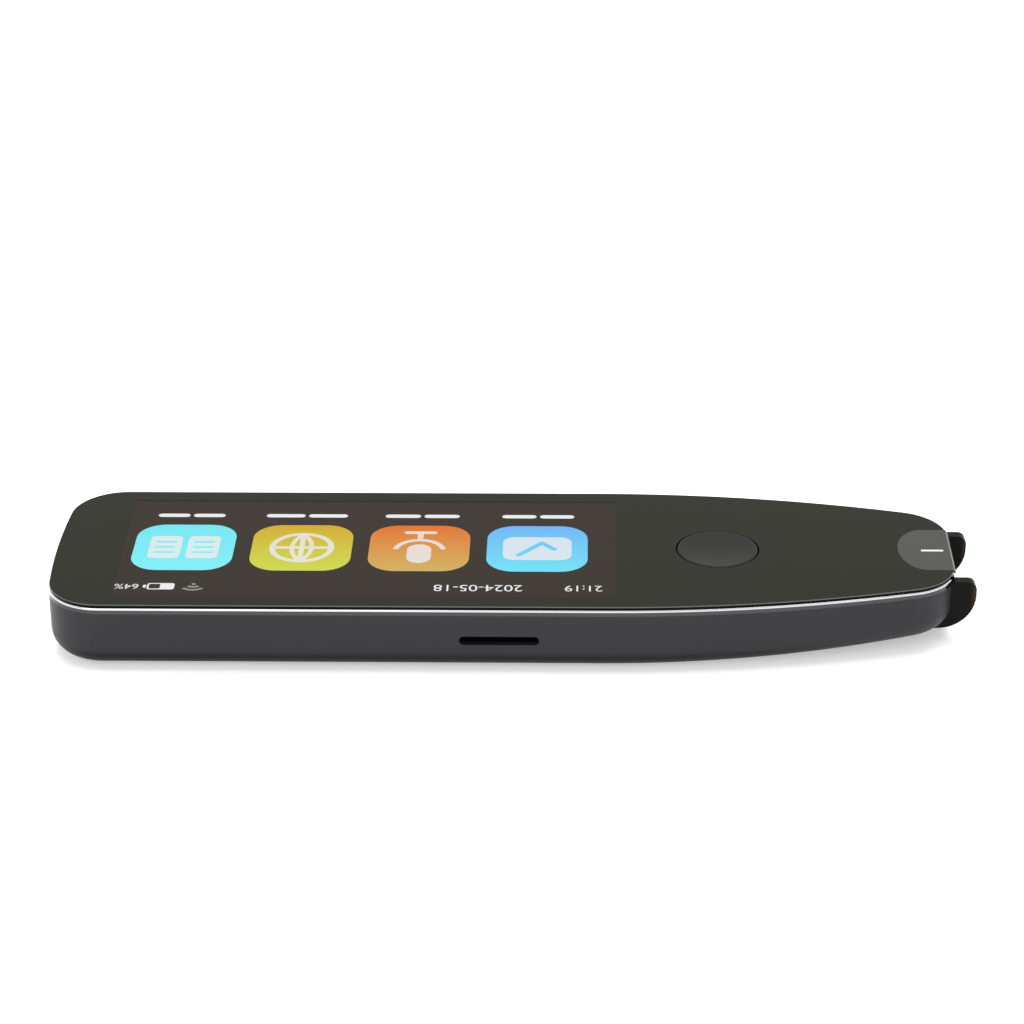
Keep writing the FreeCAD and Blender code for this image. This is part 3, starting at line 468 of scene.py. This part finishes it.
# Alignment window: a smoke-grey moulded plastic window in the notch of the glass at the tip. A white
# aiming line is printed on its face, which shows where the scan runs.
window_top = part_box("nose_window")[1][2]
line_x, line_y, line_lift = 0.06850, -0.0003, 0.000002
line_half_long, line_half_wide = 0.0018, 0.00027
dress(surface("window_smoke", (0.062, 0.061, 0.056), (0.071, 0.070, 0.064), 0.16, 800.0, spec=0.06, bump=0.0),
      "nose_window")
line_mesh = bpy.data.meshes.new("aiming_line")
lb = bmesh.new()
bmesh.ops.create_grid(lb, x_segments=1, y_segments=1, size=1.0,
                      matrix=Matrix.Translation((line_x, line_y, window_top + line_lift))
                      @ Matrix.Diagonal((line_half_long, line_half_wide, 1, 1)))
lb.to_mesh(line_mesh)
lb.free()
line_mesh.materials.append(surface("line_white", (0.78, 0.78, 0.76), (0.86, 0.86, 0.84), 0.5, 2000.0))
line = bpy.data.objects.new("aiming_line", line_mesh)
bpy.context.collection.objects.link(line)
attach(line, "casing")

# Push button and side key: moulded caps with a dark satin finish. The button is a round dished disc that
# stands in a hole of the glass, and the key is a slim bar in the far wall. Both are held by a flange inside.
dress(surface("button_satin", (0.0170, 0.0176, 0.0150), (0.0230, 0.0236, 0.0205), 0.34, 3200.0, spec=0.06),
      "main_button", "power_key")

# Scanning hood: a sprung nose piece of smoky black gloss plastic whose two cheeks stand past the body. Its
# edge turns slightly brown toward the tip, and a dark pane is set behind the cheeks.
hood_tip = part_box("scan_hood")[1][0]
brown_reach = 0.0010
hood = surface("hood_gloss", (0.048, 0.026, 0.016), (0.056, 0.031, 0.019), 0.14, 1200.0, spec=0.04, bump=0.0)
finish_and_painted_light(hood, (0.0070, 0.0072, 0.0066), hood_tip - brown_reach, hood_tip, "Along")
dress(hood, "scan_hood")
dress(surface("pane_dark", (0.010, 0.009, 0.013), (0.014, 0.012, 0.018), 0.08, 600.0, spec=0.1, bump=0.0),
      "scan_window")

# Chassis and plungers: black moulded plastic. The chassis is screwed to the tub and carries screen and
# glass, and the plungers pass the strokes of the button, the key and the hood on to their switches. The
# camera's body and the tongue of the charging socket are of the same plastic.
dress(surface("chassis_black", (0.028, 0.028, 0.030), (0.040, 0.040, 0.043), 0.55, 2600.0, bump=0.06),
      "mid_frame", "scan_camera", "button_plunger", "power_plunger", "trigger_plunger", "usb_tongue")

# Boards: the main board, the small board behind the charging socket and the lamp board, cut from green
# laminate under a satin lacquer.
dress(surface("board_green", (0.012, 0.070, 0.034), (0.018, 0.100, 0.050), 0.35, 900.0, bump=0.05),
      "main_board", "usb_board", "lamp_board")

# Bright metal: shield cans, switch bodies, microphone and charging socket, all stamped from thin steel and
# soldered to their boards, and the turned screws that hold the chassis.
dress(surface("can_steel", (0.50, 0.50, 0.51), (0.60, 0.60, 0.61), 0.30, 1500.0, metal=1.0),
      "shield_cans", "button_switch", "power_switch", "trigger_switch", "microphone", "usb_socket", "screws")

# Flat cables, battery lead and antenna: thin amber film with copper tracks inside, cut to shape and bent
# square where it turns.
dress(surface("flex_amber", (0.30, 0.15, 0.04), (0.40, 0.22, 0.07), 0.32, 1100.0),
      "display_flex", "key_flex", "battery_lead", "usb_flex", "antenna")

# Chips, speaker and lens barrel: matt black moulded pieces. The chips are soldered under the main board,
# the speaker stands at the slot in the near wall, and the barrel sits in the camera's body.
dress(surface("chip_black", (0.018, 0.018, 0.020), (0.028, 0.028, 0.030), 0.50, 2400.0, bump=0.05),
      "board_chips", "speaker", "scan_lens")

# Speaker mesh: a fine black woven mesh glued behind the slot in the near wall. It gives back almost no
# light, so the slot looks empty and black.
dress(surface("mesh_black", (0.0010, 0.0010, 0.0010), (0.0030, 0.0030, 0.0030), 0.90, 6000.0, spec=0.0,
              bump=0.10), "speaker_mesh")

# Battery: a flat cell sealed in a pouch of silver foil with a slightly uneven skin. It lies on the floor
# of the tub.
dress(surface("battery_foil", (0.48, 0.48, 0.50), (0.58, 0.58, 0.60), 0.38, 500.0, metal=0.8, bump=0.08),
      "battery")

# Glass tape: a thin black adhesive frame, cut to the outline, which bonds the cover glass down.
# Its face is matt and slightly soft.
dress(surface("tape_black", (0.010, 0.010, 0.010), (0.016, 0.016, 0.016), 0.70, 3000.0, bump=0.04),
      "glass_tape")

# Scan lamps: two small white lamps with yellow phosphor faces, soldered to the lamp board beside the lens.
# They light the page under the tip.
dress(surface("lamp_phosphor", (0.80, 0.72, 0.36), (0.88, 0.82, 0.48), 0.40, 1500.0), "scan_lamps")
